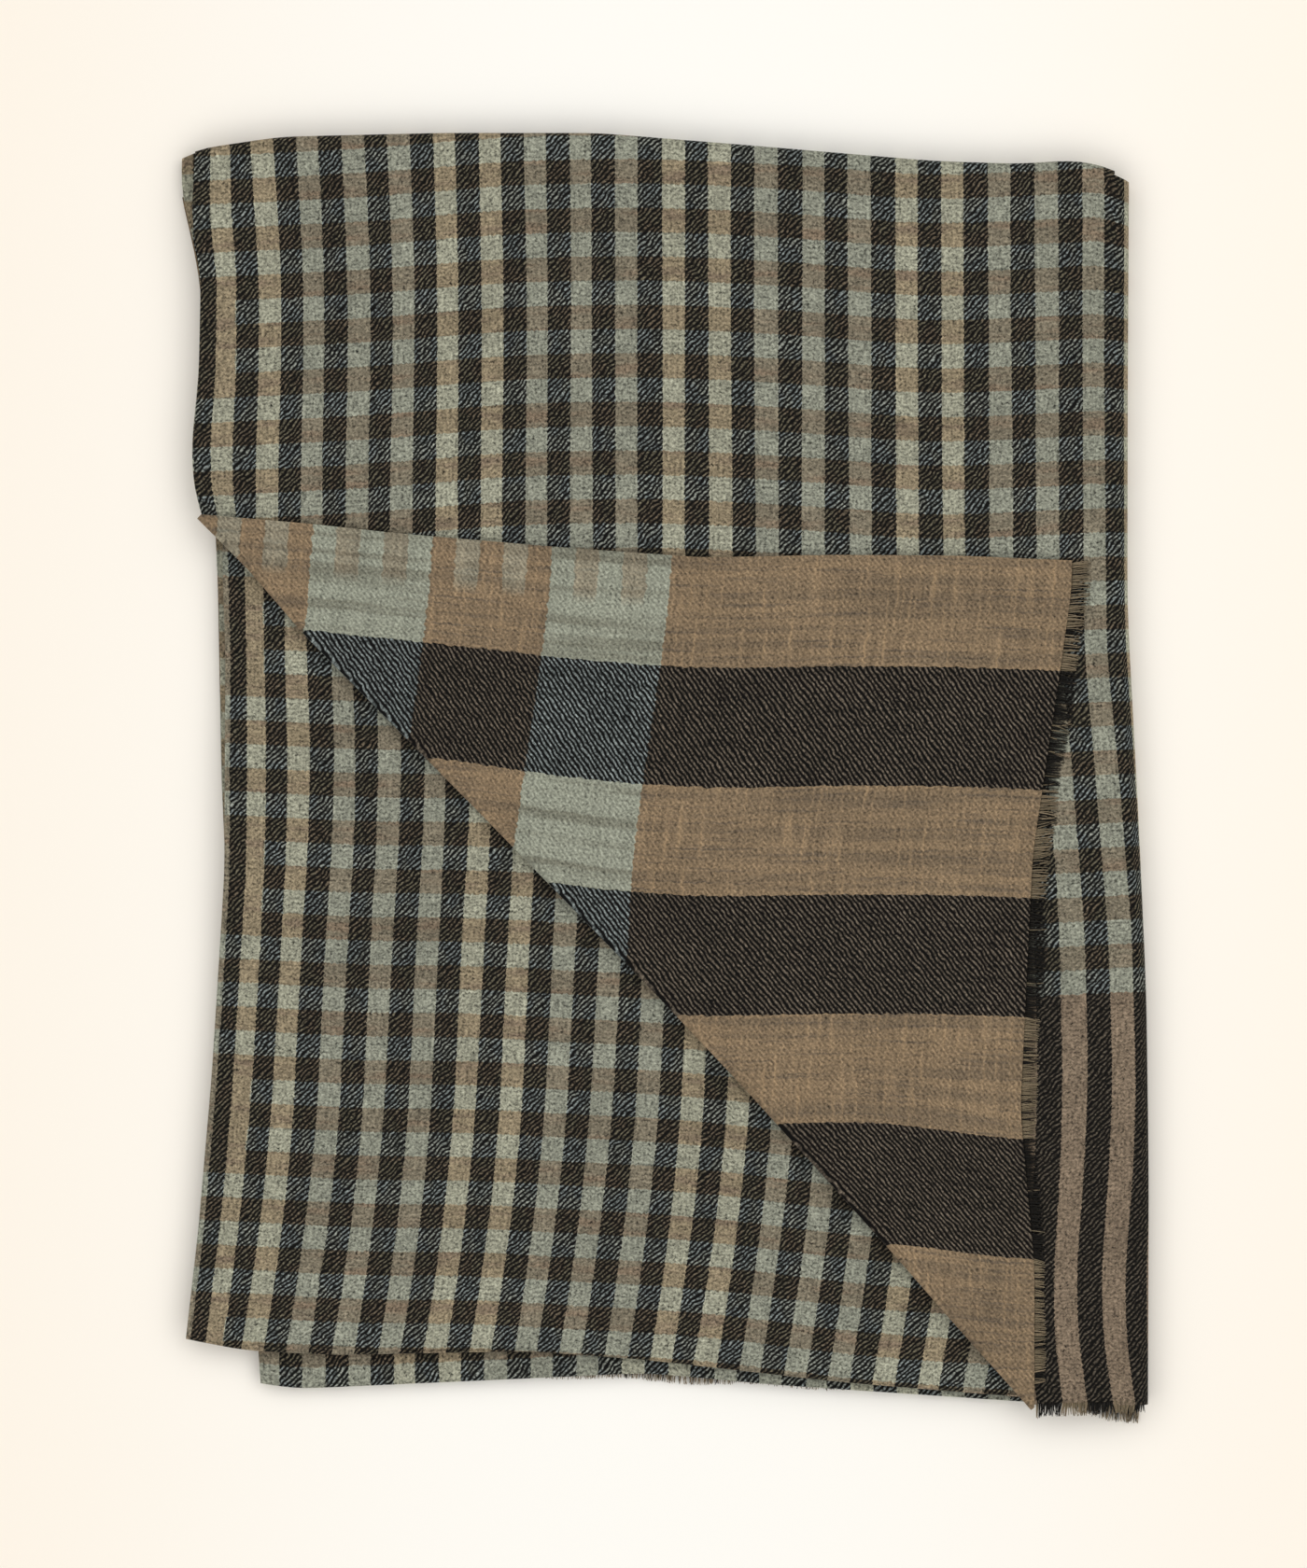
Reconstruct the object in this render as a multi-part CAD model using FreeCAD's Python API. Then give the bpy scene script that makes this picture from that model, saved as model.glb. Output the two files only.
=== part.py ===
"""Folded throw: one woven sheet with fringed ends, folded in thirds and then in half.

Frame: +X towards the long side fold, +Y towards the top fold, +Z up. The origin is the
centre of the footprint, on the surface that the throw rests on. Lengths are in millimetres.

The sheet is about 1000 wide and 2000 long. It is folded in thirds along its length, so
that three layers lie on each other, and then in half across its width, about the side
fold. The top layer's free corner is turned back over a diagonal crease. From the
surface upwards the seven levels are outer, inner and middle layer of the lower half,
middle, inner and top layer of the upper half, and the turned corner.
"""
import FreeCAD, Part
import math
import os

# Cloth
SHEET_THICKNESS = 1.0
LAYER_PITCH = 1.5
STRIPE_PITCH = 12.25
FRINGE_LENGTH = 14.0
SHORT_FRINGE_LENGTH = 11.0
FRINGE_THICKNESS = 0.6
FRINGE_ROOT_WIDTH = 10.5
FRINGE_TIP_WIDTH = 8.0
BODY_GAP = 0.3

# Levels of the pile, counted from the surface that it rests on
OUTER_LOWER = 0
INNER_LOWER = 1
MIDDLE_LOWER = 2
MIDDLE_UPPER = 3
INNER_UPPER = 4
TOP = 5
CORNER = 6

# Axis of the side fold, seen from above
SIDE_TOP = (243.3, 320.0)
SIDE_BOTTOM = (254.75, -333.0)

# Line where the layers turn over at the top edge, from the open side to the side fold
TOP_LINE = [(-251.0, 333.0), (-205.0, 341.5), (-36.0, 344.0), (44.0, 337.5), (144.0, 329.0), (236.0, 325.0)]
# The inner layers end this far short of the top line, inside the fold
INNER_END_SETBACK = 19.0

# Lines where the inner layers turn over at the bottom edge, from the open side to the side fold
BOTTOM_LINE_UPPER = [(-255.0, -296.0), (-178.0, -305.0), (-72.0, -303.5), (94.0, -320.0), (197.0, -329.0),
                     (250.0, -331.0)]
BOTTOM_LINE_LOWER = [(-216.0, -321.0), (-108.0, -320.0), (-10.0, -315.5), (61.0, -322.0), (194.0, -331.0),
                     (250.0, -332.5)]

# Open side of the layers, from top to bottom
LEFT_UPPER = [(-236.0, 110.0), (-235.0, -50.0)]
LEFT_LOWER = [(-259.0, 318.0), (-237.0, 90.0), (-234.0, -60.0)]

# Turned corner: the ends of its crease and its free edges
CREASE_START = (-247.0, 142.0)
CREASE_END = (197.0, -334.0)
CORNER_TOP_EDGE = [(-189.0, 137.0), (-61.0, 125.0), (20.0, 119.0), (159.0, 120.0), (215.0, 118.0)]
CORNER_END_EDGE = [(215.0, 118.0), (209.0, 47.0), (196.0, -39.0), (189.5, -176.0), (196.0, -258.0),
                   (196.0, -316.0)]

# Woven ends of the outermost layers
END_LINE_TOP = [(203.0, -332.0), (251.0, -331.0)]
END_LINE_LOWER = [(-213.0, -303.0), (205.0, -320.5), (251.0, -335.2)]


def level_z(level):
    """Height of the underside of a level."""
    return level * LAYER_PITCH


def mid_z(level):
    """Height of the middle of a level."""
    return level_z(level) + SHEET_THICKNESS / 2


def plate(outline, bottom, thickness=SHEET_THICKNESS):
    """Flat plate over a closed outline of (x, y) points."""
    points = [FreeCAD.Vector(x, y, bottom) for x, y in outline]
    wire = Part.makePolygon(points + [points[0]])
    return Part.Face(wire).extrude(FreeCAD.Vector(0, 0, thickness))


def side_axis(y, inset=0.0):
    """Point of the side fold's axis at y, moved inwards by inset."""
    share = (y - SIDE_TOP[1]) / (SIDE_BOTTOM[1] - SIDE_TOP[1])
    return (SIDE_TOP[0] + share * (SIDE_BOTTOM[0] - SIDE_TOP[0]) - inset, y)


def moved(line, dx, dy):
    """A line of points moved in the plane."""
    return [(x + dx, y + dy) for x, y in line]


def roll(path, low_level, high_level, outward):
    """Half tube that turns a layer over, from one level to another, along a path.

    outward is the direction in which the tube bulges. The path's points are centres of
    the tube, and its sections all lie in the plane of outward and Z.
    """
    centre_z = (mid_z(low_level) + mid_z(high_level)) / 2
    outer = (mid_z(high_level) - mid_z(low_level) + SHEET_THICKNESS) / 2
    inner = outer - SHEET_THICKNESS
    out = FreeCAD.Vector(outward[0], outward[1], 0)
    up = FreeCAD.Vector(0, 0, 1)
    centre = FreeCAD.Vector(path[0][0], path[0][1], centre_z)

    def half_circle(radius):
        return Part.Arc(centre - up * radius, centre + out * radius, centre + up * radius).toShape()

    section = Part.Face(Part.Wire([
        half_circle(outer),
        Part.makeLine(centre + up * outer, centre + up * inner),
        half_circle(inner),
        Part.makeLine(centre - up * inner, centre - up * outer),
    ]))
    solid = None
    for start, end in zip(path, path[1:]):
        step = FreeCAD.Vector(start[0] - path[0][0], start[1] - path[0][1], 0)
        length = FreeCAD.Vector(end[0] - start[0], end[1] - start[1], 0)
        span = section.translated(step).extrude(length)
        solid = span if solid is None else solid.fuse(span)
    return solid


def fringe(line, level, length, side):
    """Bunches of loose warp yarns, one for each stripe, along a woven end.

    side is +1 where the bunches point to the left of the line's direction, -1 to its right.
    """
    bottom = mid_z(level) - FRINGE_THICKNESS / 2
    bunches = []
    for (x0, y0), (x1, y1) in zip(line, line[1:]):
        run = math.hypot(x1 - x0, y1 - y0)
        along = ((x1 - x0) / run, (y1 - y0) / run)
        away = (-along[1] * side, along[0] * side)
        count = int(run // STRIPE_PITCH)
        first = (run - (count - 1) * STRIPE_PITCH) / 2
        for number in range(count):
            centre = first + number * STRIPE_PITCH
            corners = []
            for across, out in ((-FRINGE_ROOT_WIDTH, 0.0), (FRINGE_ROOT_WIDTH, 0.0),
                                (FRINGE_TIP_WIDTH, length), (-FRINGE_TIP_WIDTH, length)):
                distance = centre + across / 2
                corners.append((x0 + along[0] * distance + away[0] * out,
                                y0 + along[1] * distance + away[1] * out))
            bunches.append(plate(corners, bottom, FRINGE_THICKNESS))
    return Part.makeCompound(bunches)


def upper_half():
    """Layers that turn over together about the side fold, without the turned corner."""
    gap_top = side_axis(TOP_LINE[-1][1] - 5.0, BODY_GAP)
    gap_end = side_axis(END_LINE_TOP[-1][1], BODY_GAP)
    inner_end = moved(TOP_LINE, 0.0, -INNER_END_SETBACK)
    inner_right = side_axis(inner_end[-1][1], BODY_GAP)
    bottom_right = side_axis(BOTTOM_LINE_UPPER[-1][1], BODY_GAP)
    return {
        "top_panel": plate(
            TOP_LINE + [gap_top, gap_end] + END_LINE_TOP[::-1] + [CREASE_END, CREASE_START], level_z(TOP)),
        "inner_panel_upper": plate(
            inner_end + [inner_right, bottom_right] + BOTTOM_LINE_UPPER[::-1] + LEFT_UPPER[::-1],
            level_z(INNER_UPPER)),
        "middle_panel_upper": plate(
            TOP_LINE + [gap_top, bottom_right] + BOTTOM_LINE_UPPER[::-1] + LEFT_UPPER[::-1],
            level_z(MIDDLE_UPPER)),
        "top_fold_upper": roll(TOP_LINE, MIDDLE_UPPER, TOP, (0, 1)),
        "bottom_fold_upper": roll(BOTTOM_LINE_UPPER, MIDDLE_UPPER, INNER_UPPER, (0, -1)),
        "end_fringe_upper": fringe(END_LINE_TOP, TOP, SHORT_FRINGE_LENGTH, -1),
        "inner_fringe_upper": fringe(inner_end, INNER_UPPER, FRINGE_LENGTH, 1),
    }


def lower_half():
    """Layers that stay on the surface."""
    fold_top = side_axis(TOP_LINE[-1][1] - 5.0)
    fold_bottom = side_axis(BOTTOM_LINE_LOWER[-1][1])
    inner_end = moved(TOP_LINE, 0.0, -INNER_END_SETBACK)
    inner_right = side_axis(inner_end[-1][1])
    end_right = side_axis(END_LINE_LOWER[-1][1])
    return {
        "outer_panel_lower": plate(
            TOP_LINE + [fold_top, end_right] + END_LINE_LOWER[::-1] + LEFT_LOWER[::-1],
            level_z(OUTER_LOWER)),
        "inner_panel_lower": plate(
            inner_end + [inner_right, fold_bottom] + BOTTOM_LINE_LOWER[::-1] + LEFT_LOWER[:0:-1],
            level_z(INNER_LOWER)),
        "middle_panel_lower": plate(
            TOP_LINE + [fold_top, fold_bottom] + BOTTOM_LINE_LOWER[::-1] + LEFT_LOWER[::-1],
            level_z(MIDDLE_LOWER)),
        "top_fold_lower": roll(TOP_LINE, OUTER_LOWER, MIDDLE_LOWER, (0, 1)),
        "bottom_fold_lower": roll(BOTTOM_LINE_LOWER, INNER_LOWER, MIDDLE_LOWER, (0, -1)),
        "end_fringe_lower": fringe(END_LINE_LOWER, OUTER_LOWER, FRINGE_LENGTH, -1),
        "inner_fringe_lower": fringe(inner_end, INNER_LOWER, FRINGE_LENGTH, 1),
    }


def side_folds():
    """Three half tubes, one inside another, where the layers turn over at the side."""
    top = side_axis(TOP_LINE[-1][1] - 5.0)
    inner_top = side_axis(TOP_LINE[-1][1] - INNER_END_SETBACK)
    bottom = side_axis(BOTTOM_LINE_UPPER[-1][1])
    end = SIDE_BOTTOM
    return {
        "side_fold_outer": roll([end, top], OUTER_LOWER, TOP, (1, 0)),
        "side_fold_middle": roll([bottom, inner_top], INNER_LOWER, INNER_UPPER, (1, 0)),
        "side_fold_inner": roll([bottom, top], MIDDLE_LOWER, MIDDLE_UPPER, (1, 0)),
    }


def turned_corner():
    """Corner of the top layer, turned back over its diagonal crease, with its fringe."""
    length = math.dist(CREASE_START, CREASE_END)
    along = ((CREASE_END[0] - CREASE_START[0]) / length, (CREASE_END[1] - CREASE_START[1]) / length)
    away = (along[1], -along[0])
    shift = (-away[0] * BODY_GAP, -away[1] * BODY_GAP)
    start = (CREASE_START[0] + shift[0], CREASE_START[1] + shift[1])
    end = (CREASE_END[0] + shift[0], CREASE_END[1] + shift[1])
    outline = [start] + CORNER_TOP_EDGE + CORNER_END_EDGE[1:] + [end]
    return {
        "corner_flap": plate(outline, level_z(CORNER)),
        "corner_fringe": fringe(CORNER_END_EDGE, CORNER, FRINGE_LENGTH, 1),
        "corner_crease": roll([CREASE_START, CREASE_END], TOP, CORNER, away),
    }


os.makedirs("parts", exist_ok=True)
nodes = {}
for group in (upper_half(), lower_half(), side_folds(), turned_corner()):
    nodes.update(group)
for name, shape in nodes.items():
    shape.exportStep("parts/" + name + ".step")

whole = Part.makeCompound(list(nodes.values())).BoundBox
print("nodes", len(nodes))
print("x", round(whole.XMin, 2), round(whole.XMax, 2))
print("y", round(whole.YMin, 2), round(whole.YMax, 2))
print("z", round(whole.ZMin, 2), round(whole.ZMax, 2))
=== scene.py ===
"""Folded throw: cloth meshes, weave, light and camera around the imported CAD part.

The cloth is one sheet, about 1.0 by 2.0 m. Its own coordinates are u, across the warp
from the selvedge, and v, along the warp from the fringed end. Every piece of cloth has
them as its UV map, in metres, so the check runs on from piece to piece.
Lengths below are in millimetres unless a comment says otherwise.
"""
import bpy
import numpy as np
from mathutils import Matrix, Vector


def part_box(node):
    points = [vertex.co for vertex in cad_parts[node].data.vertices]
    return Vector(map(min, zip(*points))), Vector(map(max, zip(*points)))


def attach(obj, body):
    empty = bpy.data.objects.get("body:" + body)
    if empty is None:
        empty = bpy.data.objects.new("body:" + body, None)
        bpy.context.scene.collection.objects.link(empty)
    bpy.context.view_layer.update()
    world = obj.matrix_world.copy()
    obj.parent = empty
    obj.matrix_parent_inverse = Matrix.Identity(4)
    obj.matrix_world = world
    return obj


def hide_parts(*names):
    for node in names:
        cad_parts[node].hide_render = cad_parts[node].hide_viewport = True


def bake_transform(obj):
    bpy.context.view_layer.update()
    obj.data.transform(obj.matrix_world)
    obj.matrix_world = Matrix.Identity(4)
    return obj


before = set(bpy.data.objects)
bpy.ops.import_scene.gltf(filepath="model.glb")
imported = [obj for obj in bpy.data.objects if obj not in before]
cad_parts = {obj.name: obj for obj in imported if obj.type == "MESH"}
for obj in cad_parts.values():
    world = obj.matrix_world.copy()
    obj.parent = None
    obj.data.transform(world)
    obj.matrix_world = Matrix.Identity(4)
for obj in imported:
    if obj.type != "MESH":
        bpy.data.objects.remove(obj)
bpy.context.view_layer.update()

MM = 0.001
THICKNESS = 0.8
# Mesh cell, and flat cloth beside the side fold that goes with the fold's strip
GRID = 6.0
STRIP = 15.0
# Crease of the turned corner: radius, how far it bulges for its radius, its arc compared with
# a round tube's, the rise of the corner along it and the width of that rise, and the dip in
# the second layer that takes it when the corner is turned over
CREASE_FLATNESS = 2.2
CREASE_RISE = 1.0
CREASE_RISE_WIDTH = 14.0
CREASE_ROOM = 0.6
# Waves along the corner's free edges: height, and width of the edge that has them
EDGE_WAVE = 0.2
EDGE_WAVE_WIDTH = 40.0
random = np.random.default_rng(7)


def node_mid(node):
    """Height of the middle of a flat CAD node."""
    low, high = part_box(node)
    return (low.z + high.z) / 2 / MM


Z = {
    "outer_lower": node_mid("outer_panel_lower"),
    "inner_lower": node_mid("inner_panel_lower"),
    "middle_lower": node_mid("middle_panel_lower"),
    "middle_upper": node_mid("middle_panel_upper"),
    "inner_upper": node_mid("inner_panel_upper"),
    "top": node_mid("top_panel"),
    "corner": node_mid("corner_flap"),
}

# Outlines, as few points as their shapes need
SIDE = [(243.8, 321), (243.2, 200), (243, 92), (248.5, -10), (253.2, -114), (254.5, -212), (254, -336)]
TOP = [(-258, 331), (-252, 335), (-205, 342), (-120, 344), (-36, 344), (44, 337.5), (144, 329), (190, 327.5),
       (217, 329.5), (234, 327), (248, 320)]
TOP_LEFT = [(-250.5, 334.5), (-252.5, 302), (-247.5, 267), (-248.5, 217), (-252.3, 180), (-251.5, 158),
            (-247, 142)]
CREASE = [(-247, 142), (-220, 115), (-190, 80), (-92, -19.5), (-7, -107), (44, -161), (124, -250),
          (197, -334)]
WOVEN_END = [(197, -334), (203, -332), (251, -331)]
CORNER_TOP = [(-247, 142), (-189, 137), (-143, 132), (-61, 125), (20, 119), (90, 120.5), (159, 120),
              (217, 117.5)]
CORNER_END = [(197, -334), (197, -258), (189.5, -176), (196, -39), (209, 47), (217, 103), (217, 117.5)]
INNER_LEFT = [(-236, 330), (-236, 110), (-234.5, 68), (-235, -50), (-242, -160), (-249, -240),
              (-255.5, -297)]
BOTTOM = [(-255.5, -297), (-225, -303), (-178, -305.5), (-72, -303.5), (-11, -308), (94, -320),
          (197, -328.5), (254, -331)]
MIDDLE_LEFT = [(-242, 333), (-235, 110), (-233, 68), (-234, -50), (-240.5, -160), (-247, -240), (-254, -297)]
LOWER_LEFT = [(-258, 331), (-258.5, 316), (-254.5, 300), (-249, 275), (-245, 240), (-238.5, 110), (-236.5, 0),
              (-232, -100), (-226, -180), (-216, -321)]
LOWER_BOTTOM = [(-216, -321), (-197, -324), (-108, -320), (-10, -315.5), (61, -322), (150, -328), (194, -331),
                (254, -333)]
OUTER_LEFT = [(-258, 331), (-258, 316), (-253, 298), (-247, 270), (-243, 220), (-237, 110), (-234, 0),
              (-226, -160), (-213, -303)]
OUTER_END = [(-213, -303), (205, -320.5), (243, -334.5), (254, -335)]
# Where the layers end at the side fold, and how far the inner ends stay below the top fold
RIGHT_TOP = 324.0
RIGHT_BOTTOM = -330.0
INNER_SETBACK = 19.0

# Black bands of the reverse: where the first one starts, pitch, share that is black, and end
BAND_START = 59.3
BAND_PITCH = 121.6
BAND_SHARE = 0.524
BANDS_END = 400.0

# The check: width of a light and a dark stripe together, share that is light, length of a
# weft row, depth of the plain border and number of rows between the two borders
PAIR = 24.43
LIGHT_SHARE = 0.487
CELL = 12.95
BORDER = 217.0
ROW_COUNT = 121.0
# Start of the third light stripe, from which the stripes are even, and dark stripes before it
THIRD = 34.0
EDGE_STRIPES = [(3.0, 12.0), (22.5, THIRD)]
# Beside the selvedge, up to here, only every other five rows of the face have pale weft
EDGE_WIDTH = 22.0
FAR_SELVEDGE = 1008.0
# Lines of the twill: pitch, along u on the face and along v on the reverse, and slant, which is
# how far a line runs that way for one the other way
TWILL_PITCH = 3.04
FACE_SLANT = 0.95
REVERSE_SLANT = 0.885
# Columns of the top layer: third, eleventh and twenty-first light stripe
THIRD_COLUMN = [(345, -221.5), (307, -219), (267, -216.6), (217, -216.6), (168, -218), (-340, -218)]
MID_COLUMN_X = -26.4
LAST_COLUMN = [(345, 222), (148, 223), (68, 224), (18, 229), (-32, 233), (-80, 237), (-161, 239), (-211, 237),
               (-261, 233), (-300, 234), (-330, 239), (-340, 240)]
# Third light stripe of the second layer
INNER_COLUMN = [(345, -203), (68, -203), (18, -201), (-32, -202), (-81, -205), (-131, -207.5), (-181, -210),
                (-231, -215), (-281, -222), (-340, -232)]
# How far the weft rows of the top layer bow up, by x
BOW = [(-252, 7), (-230, 6), (-155, 2.5), (-81, -4), (-6, -5), (69, -1.5), (143, 4.5), (203, 1.5), (255, -1)]
ROWS_ZERO = -113.3
# Second layer: height of the lowest whole tan row, and its place on the cloth
LOW_ROW = [(-256, -285), (-222, -286.5), (-155, -290), (-105, -289.5), (-56, -292.6), (-6, -294.6),
           (44, -299), (94, -306), (143, -310), (255, -316)]
LOW_ROW_V = BORDER + 89 * CELL
# Lower half: left edge of a light stripe, and its place on the cloth
LOWER_COLUMN = -193.7
LOWER_COLUMN_U = THIRD + 37 * PAIR + 11.9
# Cloth taken up by the turn of a top fold and of a bottom fold, and by both ends of the third layer
TOP_TURN = 4.7
BOTTOM_TURN = 2.4
BOTH_TURNS = 9.0


def along(points, at, soft=0.0):
    """Second coordinate of a line at the first one, rounded off over soft to each side."""
    p = np.array(points, float)
    if p[0, 0] > p[-1, 0]:
        p = p[::-1]
    at = np.asarray(at, float)
    if not soft:
        return np.interp(at, p[:, 0], p[:, 1])
    total = 0
    offsets = np.linspace(-soft, soft, 9)
    weights = 1 - np.abs(offsets) / (soft * 1.25)
    for offset, weight in zip(offsets, weights):
        x = at + offset
        inside = np.clip(x, p[0, 0], p[-1, 0])
        # past an end the line is mirrored through it, so the end stays in place
        mirrored = np.clip(2 * inside - x, p[0, 0], p[-1, 0])
        value, other = np.interp(inside, p[:, 0], p[:, 1]), np.interp(mirrored, p[:, 0], p[:, 1])
        total = total + weight * np.where(x == inside, value, 2 * value - other)
    return total / weights.sum()


def flipped(points):
    """The same points with y first, for a line that runs up."""
    return [(y, x) for x, y in points]


def across(points, x0, x1, count, soft=14.0):
    """Points of a line that runs left to right, evenly spaced in x."""
    x = np.linspace(x0, x1, count)
    return np.stack([x, along(points, x, soft)], 1)


def upright(points, y0, y1, count, soft=14.0):
    """Points of a line that runs up, evenly spaced in y."""
    y = np.linspace(y0, y1, count)
    return np.stack([along(flipped(points), y, soft), y], 1)


def side_x(y, inside=0.0):
    """Place of the side fold in x, or of a line inside it."""
    return along(flipped(SIDE), y, 30.0) - inside


def patch(bottom, top, left, right):
    """Grid of points inside four border lines (Coons patch)."""
    s = np.linspace(0, 1, len(bottom))[None, :, None]
    t = np.linspace(0, 1, len(left))[:, None, None]
    tt = t[:, 0, :]
    left = left + (1 - tt) * (bottom[0] - left[0]) + tt * (top[0] - left[-1])
    right = right + (1 - tt) * (bottom[-1] - right[0]) + tt * (top[-1] - right[-1])
    corners = ((1 - s) * (1 - t) * bottom[0] + s * (1 - t) * bottom[-1]
               + (1 - s) * t * top[0] + s * t * top[-1])
    return (1 - t) * bottom[None] + t * top[None] + (1 - s) * left[:, None] + s * right[:, None] - corners


def smooth(x):
    """0 up to 0, 1 from 1 on, and a soft step between."""
    x = np.clip(x, 0, 1)
    return x * x * (3 - 2 * x)


# Greatest rise and dip of the unevenness, and the pile's left, upper and lower edge for it
RELIEF = 1.1
PILE_LEFT = -262.0
PILE_TOP = 342.0
PILE_BOTTOM = -332.0
WAVES = [(random.uniform(0.018, 0.062), random.uniform(0, np.pi), random.uniform(0, 2 * np.pi),
          random.uniform(0.5, 1.0)) for _ in range(9)]
CREASE_START = np.array(CREASE[0], float)
CREASE_RUN = np.array(CREASE[-1], float) - CREASE_START
CREASE_RUN /= np.linalg.norm(CREASE_RUN)


def crease_offset(x, y):
    """Distance from the corner's joint, positive towards the upper right."""
    return (x - CREASE_START[0]) * -CREASE_RUN[1] + (y - CREASE_START[1]) * CREASE_RUN[0]


def waves(x, y):
    total = 0
    for rate, turn, phase, weight in WAVES:
        total = total + weight * np.sin(rate * (x * np.cos(turn) + y * np.sin(turn)) + phase)
    return total


def inset(x, y):
    """Distance inside the pile's edge, negative outside it."""
    right = side_x(np.clip(y, SIDE[-1][1], SIDE[0][1]), STRIP)
    return np.minimum.reduce([right - x, x - PILE_LEFT, PILE_TOP - y, y - PILE_BOTTOM])


def relief(x, y):
    """Soft unevenness of the pile, nothing at its edges.

    What rises on one side of the corner's joint dips at the mirrored place on the other side,
    so the corner lies just as close when it is turned over.
    """
    off = crease_offset(x, y)
    mx, my = x + 2 * off * CREASE_RUN[1], y - 2 * off * CREASE_RUN[0]
    rise = np.tanh((waves(x, y) - waves(mx, my)) / 2.2)
    return RELIEF * rise * smooth(inset(x, y) / 45) * smooth(np.abs(inset(mx, my)) / 45)


def raised(x, y, level):
    """How far a layer rises with the pile's unevenness. The lower it lies, the less."""
    return relief(x, y) * (0.15 + 0.85 * Z[level] / Z["corner"])


def lifted(xy, level):
    """Points of a flat layer at its level, raised with the pile's unevenness."""
    x, y = xy[..., 0], xy[..., 1]
    z = Z[level] + raised(x, y, level)
    if level == "inner_upper":
        # room for the crease, which comes down to here when the corner is turned over
        near = 1 - smooth((np.abs(crease_offset(x, y)) - 4) / 18)
        z -= CREASE_ROOM * near * smooth((inset(x, y) + 10) / 20)
    return np.stack([x, y, z], -1)


def grid_normals(p):
    """Normals of a surface at the points of its grid."""
    n = np.cross(np.gradient(p, axis=1), np.gradient(p, axis=0))
    return n / np.maximum(np.linalg.norm(n, axis=-1, keepdims=True), 1e-9)


def cloth(name, p, uv, n=None, face_out=True):
    """Cloth of real thickness over a grid. Its outer skin lies on the side that n points to."""
    rows, cols = p.shape[:2]
    skin = rows * cols
    if n is None:
        n = grid_normals(p)
        n = np.where(n[..., 2:3] < 0, -n, n)
    half = n * THICKNESS / 2
    verts = np.concatenate([(p + half).reshape(-1, 3), (p - half).reshape(-1, 3)]) * MM
    index = np.arange(skin).reshape(rows, cols)
    quads = np.stack([index[:-1, :-1], index[:-1, 1:], index[1:, 1:], index[1:, :-1]], -1).reshape(-1, 4)
    ring = np.concatenate([index[0, :-1], index[:-1, -1], index[-1, :0:-1], index[:0:-1, 0]])
    du, dv = p[:, 1:] - p[:, :-1], p[1:] - p[:-1]
    turn = np.cross(du[:-1], dv[:, :-1]) * n[:-1, :-1]
    if turn.sum() < 0:
        quads, ring = quads[:, ::-1], ring[::-1]
    below = quads[:, ::-1] + skin
    after = np.roll(ring, -1)
    rim = np.stack([after, ring, ring + skin, after + skin], -1)
    faces = np.concatenate([quads, below, rim])
    mesh = bpy.data.meshes.new(name)
    mesh.from_pydata(verts.tolist(), [], faces.tolist())
    skins = np.repeat([0, 1, 0], [len(quads), len(below), len(rim)])
    if not face_out:
        skins = 1 - skins
    mesh.polygons.foreach_set("material_index", skins.astype(np.int32))
    mesh.polygons.foreach_set("use_smooth", np.ones(len(faces), bool))
    flat = np.concatenate([uv.reshape(-1, 2)] * 2) * MM
    layer = mesh.uv_layers.new(name="Cloth")
    layer.data.foreach_set("uv", flat[faces.reshape(-1)].astype(np.float32).reshape(-1))
    normals = np.concatenate([n.reshape(-1, 3), -n.reshape(-1, 3)])
    mesh.normals_split_custom_set_from_vertices(normals.tolist())
    obj = bpy.data.objects.new(name, mesh)
    bpy.context.scene.collection.objects.link(obj)
    for material in ("face_cloth", "reverse_cloth"):
        mesh.materials.append(MATERIALS[material])
    return obj


# ---------------------------------------------------------------- cloth coordinates

def top_uv(xy):
    """Cloth coordinates of the top layer."""
    x, y = xy[..., 0], xy[..., 1]
    left = along(flipped(TOP_LEFT), y)
    third = along(THIRD_COLUMN, y, 25)
    last = along(LAST_COLUMN, y, 25)
    u_mid, u_last = THIRD + 8 * PAIR, THIRD + 18 * PAIR
    u = np.where(x < third, THIRD * (x - left + 3) / (third - left + 3), 0)
    middle = THIRD + (u_mid - THIRD) * (x - third) / (MID_COLUMN_X - third)
    u = np.where((x >= third) & (x < MID_COLUMN_X), middle, u)
    right = u_mid + (u_last - u_mid) * (x - MID_COLUMN_X) / (last - MID_COLUMN_X)
    u = np.where((x >= MID_COLUMN_X) & (x < last), right, u)
    u = np.where(x >= last, u_last + x - last, u)
    v = BORDER + (y - ROWS_ZERO) + along(BOW, x, 40)
    return np.stack([u, v], -1)


def inner_uv(xy):
    """Cloth coordinates of the second layer."""
    x, y = xy[..., 0], xy[..., 1]
    left = along(flipped(INNER_LEFT), y)
    third = along(INNER_COLUMN, y, 25)
    near = THIRD * (x - left) / (third - left)
    far = THIRD + (x - third) * 1.006
    v = LOW_ROW_V + (y - along(LOW_ROW, x, 40)) * 1.015
    return np.stack([np.where(x < third, near, far), v], -1)


def lower_u(x):
    """Warp coordinate of the lower half, which runs back from the side fold."""
    return LOWER_COLUMN_U - (x - LOWER_COLUMN)


def middle_uv(xy):
    """Cloth coordinates of the third layer, from the top fold down to the bottom fold."""
    x, y = xy[..., 0], xy[..., 1]
    top, bottom = along(TOP, x, 14), along(BOTTOM, x, 14)
    start = top_uv(np.stack([x, top], -1))
    end_v = inner_uv(np.stack([x, bottom], -1))[..., 1]
    share = (top - y) / (top - bottom)
    u, start_v = start[..., 0], start[..., 1]
    return np.stack([u, start_v + TOP_TURN + share * (end_v - start_v - BOTH_TURNS)], -1)


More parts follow.
